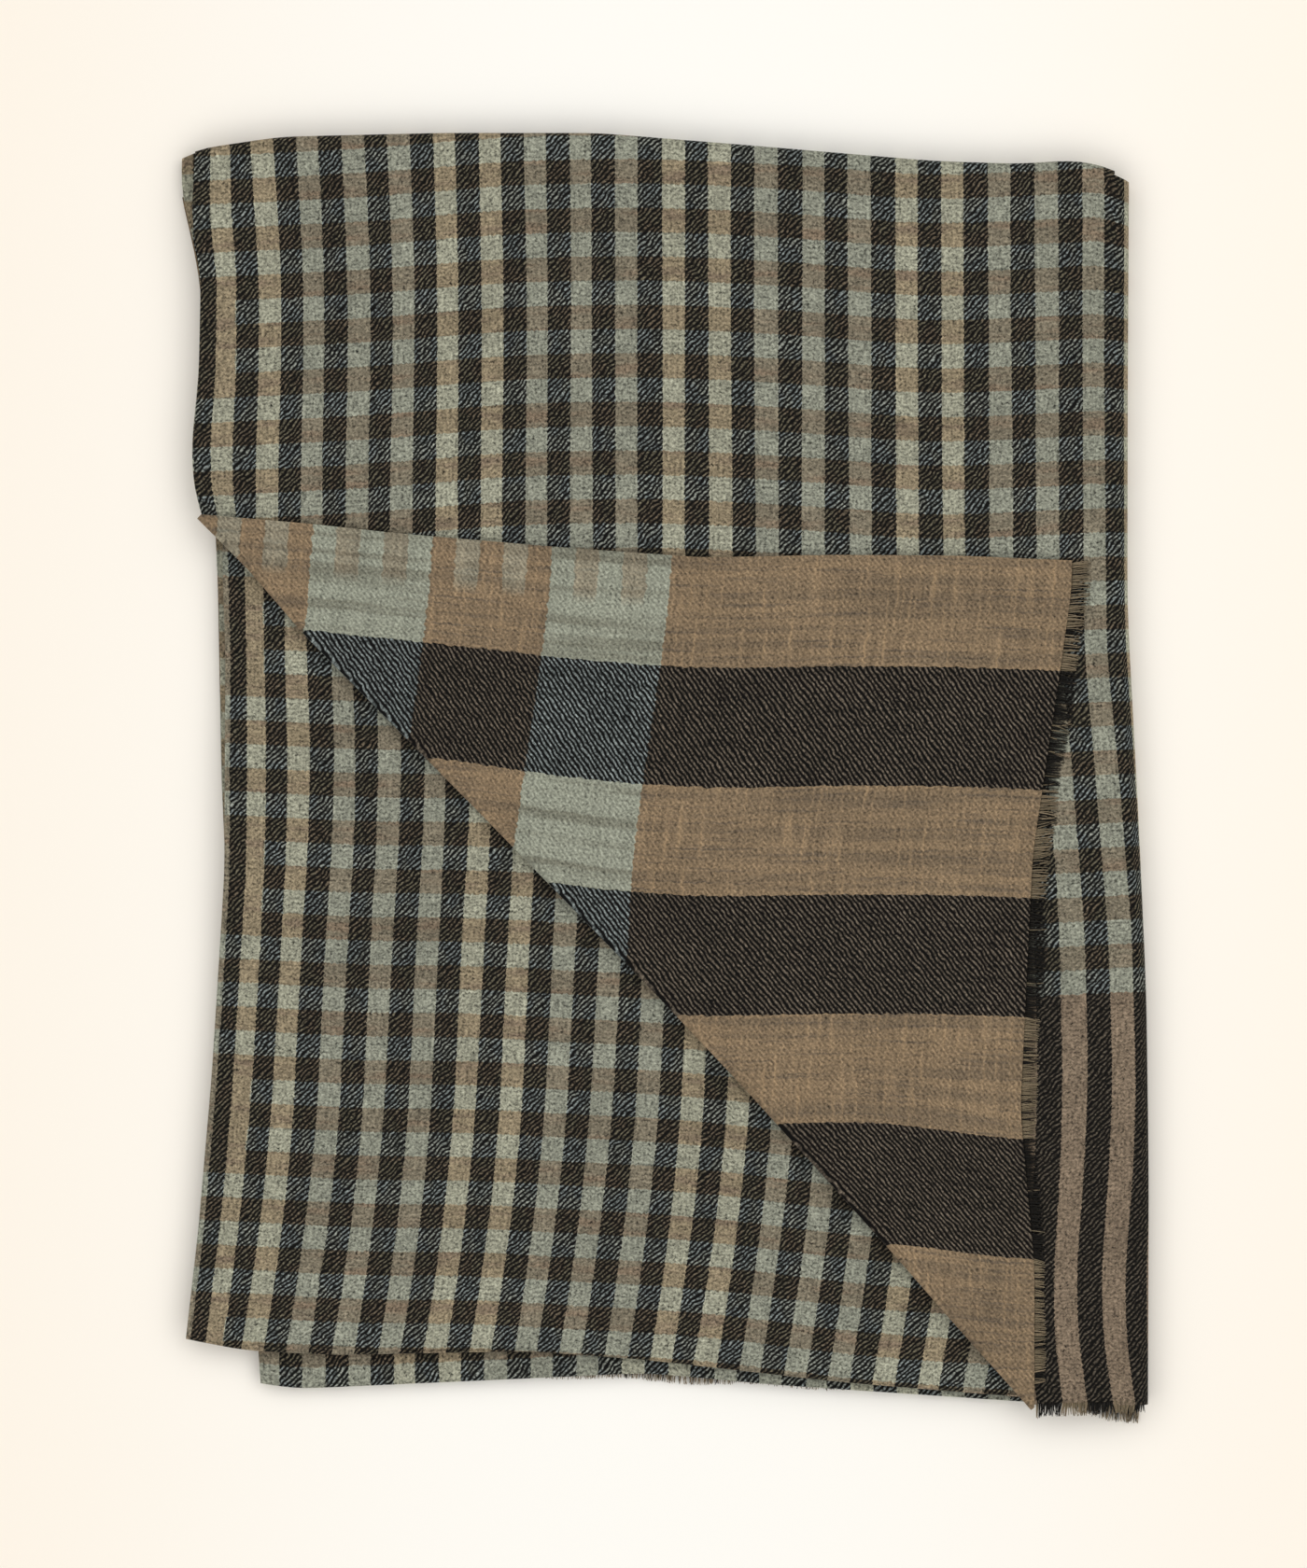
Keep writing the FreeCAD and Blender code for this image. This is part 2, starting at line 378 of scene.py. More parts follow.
def lower_top_uv(xy):
    """The rows of the top layer, with the stripes of the lower half."""
    return np.stack([lower_u(xy[..., 0]), top_uv(xy)[..., 1]], -1)


def lower_inner_uv(xy):
    """The rows of the second layer, with the stripes of the lower half."""
    return np.stack([lower_u(xy[..., 0]), inner_uv(xy)[..., 1]], -1)


def lower_rows(xy):
    """Cloth coordinates of the third layer's lower half."""
    x, y = xy[..., 0], xy[..., 1]
    # its rows are a tenth longer than elsewhere
    v = LOW_ROW_V - 4 + (along(LOWER_BOTTOM, x, 14) - y) * 0.9
    return np.stack([lower_u(x), v], -1)


def corner_uv(xy):
    """Cloth coordinates of the turned corner: u runs down, v runs left."""
    x, y = xy[..., 0], xy[..., 1]
    down = along(CORNER_TOP, x, 30) - y
    # the bands are a little wider towards the left
    u = down * (1 + 0.045 * smooth((-20 - x) / 130) * smooth(down / 60))
    # the lower bands sag towards the fringe
    u = u - 7 * smooth((x - 100) / 90) * smooth((down - 240) / 70)
    v = (along(flipped(CORNER_END), y, 40) - x) * 1.01 + 1.5
    return np.stack([u, v], -1)


# ---------------------------------------------------------------- materials

def rgb(r, g, b):
    """Linear colour of an sRGB one, given as 0 to 255."""
    c = np.array([r, g, b]) / 255
    linear = np.where(c <= 0.04045, c / 12.92, ((c + 0.055) / 1.055) ** 2.4)
    return (*[float(x) for x in linear], 1.0)


def feed(net, item, slot):
    """Set a shader's slot to a number or a colour, or link it to what another node gives."""
    if isinstance(item, Value):
        net.links.new(item.socket, slot)
    elif isinstance(item, bpy.types.NodeSocket):
        net.links.new(item, slot)
    else:
        slot.default_value = item


class Value:
    """A number in a shader, with the arithmetic that nodes can do."""

    def __init__(self, net, socket):
        self.net, self.socket = net, socket

    def do(self, op, *others, clamp=False):
        node = self.net.nodes.new("ShaderNodeMath")
        node.operation = op
        node.use_clamp = clamp
        for slot, item in zip(node.inputs, (self, *others)):
            feed(self.net, item, slot)
        return Value(self.net, node.outputs[0])

    def __add__(self, other):
        return self.do("ADD", other)

    def __sub__(self, other):
        return self.do("SUBTRACT", other)

    def __mul__(self, other):
        return self.do("MULTIPLY", other)

    def __truediv__(self, other):
        return self.do("DIVIDE", other)

    def above(self, other):
        return self.do("GREATER_THAN", other)

    def below(self, other):
        return self.do("LESS_THAN", other)

    def between(self, low, high):
        return self.above(low).both(self.below(high))

    def frac(self):
        return self.do("FRACT")

    def floor(self):
        return self.do("FLOOR")

    def invert(self):
        return self * -1.0 + 1.0

    def both(self, other):
        return self.do("MULTIPLY", other)

    def either(self, other):
        return self.do("MAXIMUM", other)

    def clamp(self):
        return self.do("ADD", 0.0, clamp=True)

    def ramp(self, low, high):
        """0 at low, 1 at high, smooth between. Low may be the larger one."""
        node = self.net.nodes.new("ShaderNodeMapRange")
        node.interpolation_type = "SMOOTHSTEP"
        feed(self.net, self, node.inputs["Value"])
        node.inputs["From Min"].default_value = low
        node.inputs["From Max"].default_value = high
        return Value(self.net, node.outputs["Result"])


class Net:
    """A node tree, with the few kinds of node that it takes here."""

    def __init__(self, tree):
        self.nodes, self.links = tree.nodes, tree.links

    def split(self, vector):
        """The three numbers of a vector."""
        node = self.nodes.new("ShaderNodeSeparateXYZ")
        self.links.new(vector, node.inputs[0])
        return [Value(self, out) for out in node.outputs]

    def cloth_uv(self):
        """u and v, in millimetres."""
        source = self.nodes.new("ShaderNodeUVMap")
        source.uv_map = "Cloth"
        u, v, _ = self.split(source.outputs["UV"])
        return u * (1 / MM), v * (1 / MM)

    def noise(self, x, y, detail=1.0, z=0.0):
        """Noise from 0 to 1 about 0.5, at a place that is counted in blobs. z picks the pattern."""
        join = self.nodes.new("ShaderNodeCombineXYZ")
        for slot, item in zip(join.inputs, (x, y, z)):
            feed(self, item, slot)
        node = self.nodes.new("ShaderNodeTexNoise")
        node.inputs["Scale"].default_value = 1.0
        node.inputs["Detail"].default_value = detail
        self.links.new(join.outputs[0], node.inputs["Vector"])
        return Value(self, node.outputs["Fac"])

    def mix(self, factor, a, b, kind="MIX"):
        """One colour at factor 0, the other at 1."""
        node = self.nodes.new("ShaderNodeMix")
        node.data_type = "RGBA"
        node.blend_type = kind
        feed(self, factor, node.inputs[0])
        # slots 6 and 7 are the ones for colours
        for slot, item in zip(node.inputs[6:8], (a, b)):
            feed(self, item, slot)
        return node.outputs[2]

    def scaled(self, colour, value):
        """A colour times a number."""
        join = self.nodes.new("ShaderNodeCombineColor")
        for slot in join.inputs:
            feed(self, value, slot)
        return self.mix(1.0, colour, join.outputs[0], "MULTIPLY")


class Surface(Net):
    """Node tree of one material."""

    def __init__(self, name, roughness, sheen, specular=0.15):
        self.material = bpy.data.materials.new(name)
        self.material.use_nodes = True
        super().__init__(self.material.node_tree)
        self.shader = self.nodes["Principled BSDF"]
        self.shader.inputs["Roughness"].default_value = roughness
        self.shader.inputs["Sheen Weight"].default_value = sheen
        self.shader.inputs["Sheen Roughness"].default_value = 0.5
        self.shader.inputs["Specular IOR Level"].default_value = specular

    def finish(self, colour, height=None):
        """The material with this colour, and with fine bumps where a height is given."""
        feed(self, colour, self.shader.inputs["Base Color"])
        if height is not None:
            bump = self.nodes.new("ShaderNodeBump")
            bump.inputs["Strength"].default_value = 0.5
            bump.inputs["Distance"].default_value = 0.3 * MM
            feed(self, height, bump.inputs["Height"])
            feed(self, bump.outputs[0], self.shader.inputs["Normal"])
        return self.material


# How much the two sides are scaled, so that the mean of each matches the real cloth
FACE_GAIN = 0.88
REVERSE_GAIN = 0.96


def twill(net, u, v, phase, wander, least):
    """Slanting floats of the weft, from 0 between them to 1.

    They stray from their lines by wander, in pitches. Where yarns are uneven a float
    weakens, down to least.
    """
    phase = (phase + net.noise(u * 0.16, v * 0.16, z=4.0) * wander).frac()
    line = (phase - 0.5).do("ABSOLUTE").ramp(0.33, 0.08)
    dash = net.noise(u * 0.62, v * 0.8, 1.0, z=6.0).ramp(0.36, 0.60)
    return line * (dash * (1.1 - least) + least)


def weft_rows(v):
    """Rows from the border: which one, and whether it's even, in an even five, and no border."""
    row = (v - BORDER) / CELL
    cell = row.floor()
    even = (cell * 0.5).frac().below(0.25)
    even_five = (cell / 10.0).frac().below(0.45)
    return row, even, even_five, row.between(0.0, ROW_COUNT)


def face_material():
    """Small check: light stripes and dark ones, both crossed by rows of pale and tan weft."""
    net = Surface("face_cloth", 0.92, 0.03)
    u0, v0 = net.cloth_uv()
    # every yarn edge wanders a little
    u = u0 + (net.noise(u0 * 0.15, v0 * 0.7, 2.0) - 0.5) * 2.2
    u = u + (net.noise(u0 * 0.06, v0 * 0.004, 1.0, z=13.0) - 0.5) * 2.6
    v = v0 + (net.noise(u0 * 0.7, v0 * 0.15, 2.0, z=3.0) - 0.5) * 2.6
    pair = (u - THIRD) / PAIR
    dark = pair.frac().above(LIGHT_SHARE).both(u.above(THIRD))
    for start, end in EDGE_STRIPES:
        dark = dark.either(u.between(start, end))
    dark = dark.both(u.below(FAR_SELVEDGE))
    row, even, even_five, checked = weft_rows(v)
    border = row.below(0.0)
    pale = even.both(checked)
    pale = pale.both(u.below(EDGE_WIDTH).both(even_five.invert()).invert())
    # two light stripes out of five
    creamy = ((pair.floor() + 1.0) / 5.0).frac().below(0.3)

    slow = net.noise(u * 0.02, v * 0.02, 2.0, z=7.0)
    weft_yarn = net.noise(u * 0.11, v * 0.95, 2.0, z=1.0)
    warp_yarn = net.noise(u * 0.95, v * 0.10, 2.0, z=2.0)
    grain = net.noise(u * 0.62, v * 0.75, 3.0, z=5.0)
    row_shade = net.noise(u * 0.02, v * 0.16, 2.0, z=9.0)
    cell_shade = net.noise(u * 0.09, v * 0.07, 1.0, z=11.0)
    line = twill(net, u0, v0, (u0 - v0 * FACE_SLANT) / TWILL_PITCH, wander=1.5, least=0.18)

    pale_light = net.mix(creamy, rgb(140, 142, 128), rgb(154, 154, 136))
    tan_light = net.mix(creamy, rgb(124, 116, 99), rgb(142, 129, 105))
    tan_light = net.mix(row_shade.ramp(0.48, 0.70), tan_light, rgb(126, 111, 93))
    tan_light = net.mix(border, tan_light, rgb(131, 115, 97))
    light = net.mix(pale, tan_light, pale_light)
    tone = (weft_yarn - 0.5) * 1.1 + (warp_yarn - 0.5) * 1.2 + (grain - 0.5) * 3.4 + 0.95
    light = net.scaled(light, tone + line * 0.12)

    pale_line = net.mix(cell_shade.ramp(0.42, 0.58), rgb(154, 163, 161), rgb(162, 166, 156))
    tan_line = net.mix(cell_shade.ramp(0.42, 0.58), rgb(124, 117, 97), rgb(120, 107, 89))
    tan_line = net.mix(border, tan_line, rgb(106, 97, 84))
    weft_line = net.mix(pale, tan_line, pale_line)
    ground = net.mix(pale, rgb(14, 12, 8), rgb(14, 15, 13))
    black = net.mix(line.clamp(), ground, weft_line)
    black = net.scaled(black, (grain - 0.5) * 2.6 + (weft_yarn - 0.5) * 1.0 + 0.68)

    unevenness = (slow - 0.5) * 0.35 + (cell_shade - 0.5) * 0.3
    colour = net.scaled(net.mix(dark, light, black), unevenness + FACE_GAIN - border * 0.09)
    height = line * dark + grain * 0.6 + weft_yarn * 0.3
    return net.finish(colour, height)


def reverse_material():
    """Large check: black bands of twill and tan ones, both crossed by paler bands."""
    net = Surface("reverse_cloth", 0.92, 0.03)
    u0, v0 = net.cloth_uv()
    u = u0 + (net.noise(u0 * 0.06, v0 * 0.3, 3.0) - 0.5) * 3.0
    v = v0 + (net.noise(u0 * 0.3, v0 * 0.06, 3.0, z=3.0) - 0.5) * 4.5
    dark = ((u - BAND_START) / BAND_PITCH).frac().below(BAND_SHARE).both(u.between(BAND_START, BANDS_END))
    _, even, even_five, checked = weft_rows(v)
    # beside the selvedge the small rows of the face show too
    edge = u.ramp(30.0, 21.0)
    small = even * 0.5 + even_five * 0.5
    pale = (even_five * edge.invert() + small * edge).both(checked)

    slow = net.noise(u * 0.02, v * 0.02, 2.0, z=7.0)
    streak = net.noise(u * 0.16, v * 0.006, 4.0, z=1.0)
    fine_streak = net.noise(u * 0.6, v * 0.02, 3.0, z=8.0)
    rib = net.noise(u * 0.03, v * 0.42, 4.0, z=2.0)
    grain = net.noise(u * 0.75, v * 0.65, 3.0, z=5.0)
    line = twill(net, u0, v0, (v0 + u0 * REVERSE_SLANT) / TWILL_PITCH, wander=1.1, least=0.38)

    tan = net.mix(streak.ramp(0.40, 0.66), rgb(136, 116, 91), rgb(117, 101, 81))
    tan = net.mix(fine_streak.ramp(0.48, 0.75), tan, rgb(100, 88, 74))
    tan = net.mix(rib.ramp(0.50, 0.85), tan, rgb(146, 123, 94))
    pale_light = net.mix(streak.ramp(0.42, 0.66), rgb(146, 149, 134), rgb(118, 118, 104))
    light = net.mix(pale, tan, pale_light)
    light = net.scaled(light, (grain - 0.5) * 2.3 + (rib - 0.5) * 0.8 + 0.85 + line * 0.34)

    weft_line = net.mix(pale, rgb(130, 118, 103), rgb(160, 170, 168))
    ground = net.mix(pale, rgb(6, 4, 2), rgb(8, 9, 9))
    black = net.mix(line.clamp(), ground, weft_line)
    black = net.scaled(black, (grain - 0.5) * 2.0 + (rib - 0.5) * 0.8 + (fine_streak - 0.5) * 1.0 + 0.56)

    colour = net.scaled(net.mix(dark, light, black), (slow - 0.5) * 0.35 + REVERSE_GAIN)
    height = line * (dark * 0.8 + 0.2) + grain * 0.6 + rib * 0.3
    return net.finish(colour, height)


def yarn_material():
    """Single yarns: light ones, and dark ones where u is below zero."""
    net = Surface("fringe_yarn", 0.9, 0.05)
    u, v = net.cloth_uv()
    tone = net.noise(u * 1.1, 0.0, 1.0)
    shade = net.noise(u * 0.08, v * 0.1, 1.0, z=2.0)
    light = net.mix(tone.ramp(0.35, 0.65), rgb(108, 98, 78), rgb(142, 126, 102))
    dark = net.mix(tone.ramp(0.35, 0.65), rgb(10, 9, 7), rgb(30, 27, 22))
    colour = net.mix(u.below(0.0), light, dark)
    return net.finish(net.scaled(colour, (shade - 0.5) * 0.4 + 1.0))


MATERIALS = {
    "face_cloth": face_material(),
    "reverse_cloth": reverse_material(),
    "fringe_yarn": yarn_material(),
}


# ---------------------------------------------------------------- flat layers

def count(length):
    return max(3, int(round(length / GRID)) + 1)


# Grid points across a layer and along it
COLUMNS = count(480)
ROWS = count(640)


def lines(top_line, bottom_line, left_line, top_drop=0.0):
    """Four border lines of a layer that ends at the strip of the side fold."""
    x_left_top, x_left_bottom = left_line[0][0], bottom_line[0][0]
    top_right, bottom_right = side_x(RIGHT_TOP - top_drop, STRIP), side_x(RIGHT_BOTTOM, STRIP)
    top = across(top_line, x_left_top, top_right, COLUMNS)
    top[:, 1] -= top_drop
    bottom = across(bottom_line, x_left_bottom, bottom_right, COLUMNS)
    left = upright(left_line, bottom[0, 1], top[0, 1], ROWS)
    y = np.linspace(bottom[-1, 1], top[-1, 1], ROWS)
    right = np.stack([side_x(y, STRIP), y], 1)
    return bottom, top, left, right


def layer(name, node, level, borders, uv_of, face_out, body):
    """One flat layer between four lines, riding on a CAD body."""
    xy = patch(*borders)
    obj = cloth(name, lifted(xy, level), uv_of(xy), face_out=face_out)
    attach(obj, body)
    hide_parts(node)
    return obj


crease_and_end = CREASE[:-1] + WOVEN_END
borders = lines(TOP, crease_and_end, TOP_LEFT)
# the corner between crease and woven end is sharper than other lines' corners
borders[0][:, 1] = along(crease_and_end, borders[0][:, 0], 3.0)
top_panel = layer("Top_layer", "top_panel", "top", borders, top_uv, True, "upper_half")
inner_upper = layer("Second_layer", "inner_panel_upper", "inner_upper",
                    lines(TOP, BOTTOM, INNER_LEFT, INNER_SETBACK), inner_uv, True, "upper_half")
middle_upper = layer("Third_layer", "middle_panel_upper", "middle_upper",
                     lines(TOP, BOTTOM, MIDDLE_LEFT), middle_uv, False, "upper_half")
middle_lower = layer("Third_layer_lower", "middle_panel_lower", "middle_lower",
                     lines(TOP, LOWER_BOTTOM, LOWER_LEFT), lower_rows, True, "lower_half")
inner_lower = layer("Second_layer_lower", "inner_panel_lower", "inner_lower",
                    lines(TOP, LOWER_BOTTOM, LOWER_LEFT, INNER_SETBACK), lower_inner_uv, False, "lower_half")
outer_lower = layer("Top_layer_lower", "outer_panel_lower", "outer_lower",
                    lines(TOP, OUTER_END, OUTER_LEFT), lower_top_uv, False, "lower_half")


# ---------------------------------------------------------------- turned corner

def crease_rise(x):
    """Height of the turned corner's edge over the rest of the corner, less at its lower end."""
    return CREASE_RISE * (0.3 + 0.7 * smooth((CREASE[-1][0] - x) / 50))


def corner_points(xy):
    """The corner at its level, with its edge up on the crease and its free edges a little wavy."""
    x, y = xy[..., 0], xy[..., 1]
    points = lifted(xy, "corner")
    # the crease slopes, so a way up is a shorter way across it
    off_crease = (y - along(CREASE, x, 6.0)) * 0.68
    points[..., 2] += crease_rise(x) * (1 - smooth(off_crease / CREASE_RISE_WIDTH))
    u, v = np.moveaxis(corner_uv(xy), -1, 0)
    near_edge = 1 - np.minimum(np.minimum(v, u), EDGE_WAVE_WIDTH) / EDGE_WAVE_WIDTH
    ripple = 1 + (np.sin(y / 17.0) + np.sin(y / 9.3 + 1) * 0.5) / 1.5
    ends = smooth((y - CREASE[-1][1]) / 60) * smooth((x - CREASE[0][0]) / 60)
    points[..., 2] += EDGE_WAVE * near_edge * ripple * ends
    return points


def turned_corner():
    """A triangle, as a patch whose left border is one point."""
    crease_line = across(CREASE, CREASE[0][0], CREASE[-1][0], COLUMNS, 6.0)
    top = across(CORNER_TOP, CORNER_TOP[0][0], CORNER_TOP[-1][0], COLUMNS)
    right = upright(CORNER_END, CORNER_END[0][1], CORNER_END[-1][1], ROWS)
    left = np.repeat(crease_line[:1], ROWS, 0)
    xy = patch(crease_line, top, left, right)
    obj = cloth("Turned_corner", corner_points(xy), corner_uv(xy), face_out=False)
    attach(obj, "turned_corner")
    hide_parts("corner_flap")
    return obj


flap = turned_corner()


# ---------------------------------------------------------------- folds

def roll(line, z_low, z_high, outward, uv_low, uv_high, margin=0.0, flatness=1.0):
    """Half a tube along a line, which turns the cloth over from one height to the other.

    outward is the direction in which it bulges at each point of the line. A margin of
    flat cloth goes with it on both levels. A pressed fold bulges flatness times its radius.
    """
    z_low, z_high = (np.broadcast_to(z, len(line))[:, None] for z in (z_low, z_high))
    radius = (z_high - z_low) / 2
    angles = np.linspace(-np.pi / 2, np.pi / 2, 13)
    flat = np.linspace(margin, 0, 4)[:-1] if margin else np.array([])
    away = np.concatenate([flat, 0 * angles, flat[::-1]])
    n_out = np.concatenate([0 * flat, np.cos(angles), 0 * flat])
    n_up = np.concatenate([0 * flat - 1, np.sin(angles), 0 * flat + 1])
    arc = np.concatenate([0 * flat, (angles + np.pi / 2) / np.pi, 0 * flat + 1])
    outward = np.asarray(outward, float)
    xy = line[:, None, :] + (radius * n_out * flatness - away)[..., None] * outward[:, None, :]
    z = (z_low + z_high) / 2 + radius * n_up
    p = np.concatenate([xy, z[..., None]], -1)
    size = np.hypot(n_out / flatness, n_up)
    n = np.concatenate([(n_out / flatness / size)[None, :, None] * outward[:, None, :],
                        np.repeat((n_up / size)[None, :, None], len(line), 0)], -1)
    arc = arc[None, :, None]
    low = uv_low(np.where(arc < 0.5, xy, line[:, None]))
    high = uv_high(np.where(arc > 0.5, xy, line[:, None]))
    return p, low * (1 - arc) + high * arc, n


def straight(line, direction):
    return np.repeat(np.array([direction], float), len(line), 0)


def fold(name, node, low, high, line, direction, uv_low, uv_high, body):
    """Top or bottom fold between two levels of one half. It bulges along y, by direction's sign."""
    p, uv, n = roll(line, Z[low], Z[high], straight(line, (0, direction)), uv_low, uv_high)
    obj = cloth(name, p, uv, n)
    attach(obj, body)
    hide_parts(node)
    return obj


top_fold_upper = fold("Top_fold", "top_fold_upper", "middle_upper", "top",
                      across(TOP, -250.5, 240, COLUMNS), 1,
                      lambda q: top_uv(q) + (0, TOP_TURN), top_uv, "upper_half")
top_fold_lower = fold("Top_fold_lower", "top_fold_lower", "outer_lower", "middle_lower",
                      across(TOP, -258, 240, COLUMNS), 1,
                      lower_top_uv, lambda q: lower_top_uv(q) + (0, TOP_TURN), "lower_half")
bottom_fold_upper = fold("Bottom_fold", "bottom_fold_upper", "middle_upper", "inner_upper",
                         across(BOTTOM, -255.5, 250, COLUMNS), -1,
                         lambda q: inner_uv(q) - (0, BOTTOM_TURN), inner_uv, "upper_half")
bottom_fold_lower = fold("Bottom_fold_lower", "bottom_fold_lower", "inner_lower", "middle_lower",
                         across(LOWER_BOTTOM, -216, 250, COLUMNS), -1,
                         lambda q: lower_rows(q) + (0, BOTTOM_TURN), lower_rows, "lower_half")


def side_fold(name, node, low, high, y0, y1, uv_low, uv_high, face_out):
    """Strip that crosses the side fold's joint, from y0 up to y1."""
    y = np.linspace(y0, y1, ROWS)
    line = np.stack([side_x(y), y], 1)
    p, uv, n = roll(line, Z[low], Z[high], straight(line, (1, 0)), uv_low, uv_high, STRIP)
    # the top end follows the top edge, which drops towards the side
    share = (y - y0) / (y1 - y0)
    top = along(TOP, p[-1, :, 0], 8.0) - along(TOP, p[-1, 0, 0], 8.0)
    p[..., 1] += share[:, None] ** 6 * top[None, :]
    obj = cloth(name, p, uv, n, face_out)
    x = side_x(0.0)
    x * MM
    x * MM
    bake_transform(obj)
    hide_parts(node)
    return obj


side_outer = side_fold("Side_fold_outer", "side_fold_outer", "outer_lower", "top", -333.0, 327.0,
                       lower_top_uv, top_uv, True)
side_middle = side_fold("Side_fold_middle", "side_fold_middle", "inner_lower", "inner_upper", -331.0, 306.0,
                        lower_inner_uv, inner_uv, True)
side_inner = side_fold("Side_fold_inner", "side_fold_inner", "middle_lower", "middle_upper", -332.0, 326.0,
                       lower_rows, middle_uv, False)


def corner_crease():
    """Crease of the turned corner, a little higher than the cloth that lies beside it."""
    line = across(CREASE, CREASE[0][0], CREASE[-1][0], COLUMNS, 6.0)
    step = np.gradient(line, axis=0)
    step /= np.linalg.norm(step, axis=1, keepdims=True)
    down_left = np.stack([step[:, 1], -step[:, 0]], 1)
    p, uv, n = roll(line, Z["top"], Z["corner"] + crease_rise(line[:, 0]), down_left, corner_uv, corner_uv,
                    flatness=CREASE_FLATNESS)
    obj = cloth("Corner_crease", p, uv, n, False)
    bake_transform(obj)
    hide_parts("corner_crease")
    return obj


crease = corner_crease()


# ---------------------------------------------------------------- fringes

# Places along a yarn of the fringe, its length in cloth coordinates, its three-sided section,
# and how much of it is rooted in the cloth
YARN_SHARE = np.array([0.0, 0.25, 0.5, 0.75, 1.0])
YARN_V = 10
YARN_SECTION = [(1, 0), (-0.5, 0.87), (-0.5, -0.87)]
YARN_ROOT = 0.8
# Width of the face's stripes where they show in the corner's fringe
CORNER_STRIPE = 12.2


def yarn(middle, aside, width, u, base):
    """Tapered yarn along a line: vertices, faces that count from base, and cloth coordinates."""
    sides, rings = len(YARN_SECTION), len(YARN_SHARE)
    verts = [(x + aside[0] * sx * w, y + aside[1] * sx * w, z + sz * w)
             for (x, y, z), w in zip(middle, width) for sx, sz in YARN_SECTION]
    faces, uvs = [], []
    for k in range(rings - 1):
        low, high = base + k * sides, base + (k + 1) * sides
        for m in range(sides):
            after = (m + 1) % sides
            faces.append((low + m, low + after, high + after, high + m))
            uvs.extend([(u, YARN_SHARE[k] * YARN_V)] * 2 + [(u, YARN_SHARE[k + 1] * YARN_V)] * 2)
    end = base + (rings - 1) * sides
    faces.extend([(base + 2, base + 1, base), (end, end + 1, end + 2)])
    uvs.extend([(u, 0)] * sides + [(u, YARN_V)] * sides)
    return verts, faces, uvs


def fringe(name, node, line, away, level, length, shade_of, body, pitch=0.58, lift=0.0, wander=1.0,
           shorter=1.0):
    """Loose ends of the warp along a woven end, as tapered yarns in small bunches.

    away is the way they point, at each point of the line. They come down by lift towards
    their tips, and start shorter by a share where the line begins.
    """
    lengths = np.concatenate([[0], np.cumsum(np.linalg.norm(np.diff(line, axis=0), axis=1))])
    total = lengths[-1]
    number = int(total / pitch)
    at = (np.arange(number) + random.uniform(0.1, 0.9, number)) * pitch
    x, y = np.interp(at, lengths, line[:, 0]), np.interp(at, lengths, line[:, 1])
    ax, ay = np.interp(at, lengths, away[:, 0]), np.interp(at, lengths, away[:, 1])
    bunch = np.sin(at / 2.9) + np.sin(at / 1.7 + 2)
    lean = (0.05 * bunch + random.normal(0, 0.05, number)) * wander
    reach = length * random.uniform(0.82, 1.0, number) * (0.92 + 0.08 * np.sin(at / 11))
    reach *= shorter + (1 - shorter) * smooth(at / total * 1.6)
    curl = random.normal(0, 0.10, number) * wander
    thick = random.uniform(0.30, 0.50, number)
    height = random.uniform(-0.18, 0.22, number)
    share = YARN_SHARE
    verts, faces, uvs = [], [], []
    for i in range(number):
        # none starts at the very end of the line
        if at[i] > total - 0.4:
            continue
        d = np.array([ax[i], ay[i]])
        c = np.array([-d[1], d[0]])
        bend = lean[i] * share + curl[i] * share ** 2
        px = x[i] + reach[i] * (share * d[0] + bend * c[0]) - YARN_ROOT * d[0] * (1 - share)
        py = y[i] + reach[i] * (share * d[1] + bend * c[1]) - YARN_ROOT * d[1] * (1 - share)
        pz = Z[level] + raised(px, py, level) + height[i] - lift * share ** 1.5
        width = thick[i] * (1 - 0.55 * share ** 2)
        u = (at[i] + 1.0) * (1 if shade_of(x[i], y[i]) else -1)
        more = yarn(np.stack([px, py, pz], 1), c, width, u, len(verts))
        for kept, new in zip((verts, faces, uvs), more):
            kept.extend(new)
    mesh = bpy.data.meshes.new(name)
    mesh.from_pydata((np.array(verts) * MM).tolist(), [], faces)
    mesh.polygons.foreach_set("use_smooth", np.ones(len(faces), bool))
    layer_uv = mesh.uv_layers.new(name="Cloth")
    layer_uv.data.foreach_set("uv", (np.array(uvs) * MM).astype(np.float32).reshape(-1))
    mesh.materials.append(MATERIALS["fringe_yarn"])
    obj = bpy.data.objects.new(name, mesh)
    bpy.context.scene.collection.objects.link(obj)
    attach(obj, body)
    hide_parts(node)
    return obj


def corner_shade(x, y):
    """True where the corner's yarn is light: most of them in a tan band, few in a black one."""
    u = float(corner_uv(np.array([x, y]))[0])
    black = BAND_START < u < BANDS_END and ((u - BAND_START) / BAND_PITCH) % 1 < BAND_SHARE
    tan = 0.95 if (u / CORNER_STRIPE) % 2 < 1 else 0.66
    chance = 0.05 if black else tan
    return random.random() < chance


def stripe_shade(x, y):
    """True where the yarn belongs to a light stripe of the face."""
    u = float(top_uv(np.array([x, y]))[0])
    return ((u - THIRD) / PAIR) % 1 < LIGHT_SHARE


def mostly_light(x, y):
    """True for four yarns out of five."""
    return random.random() < 0.8


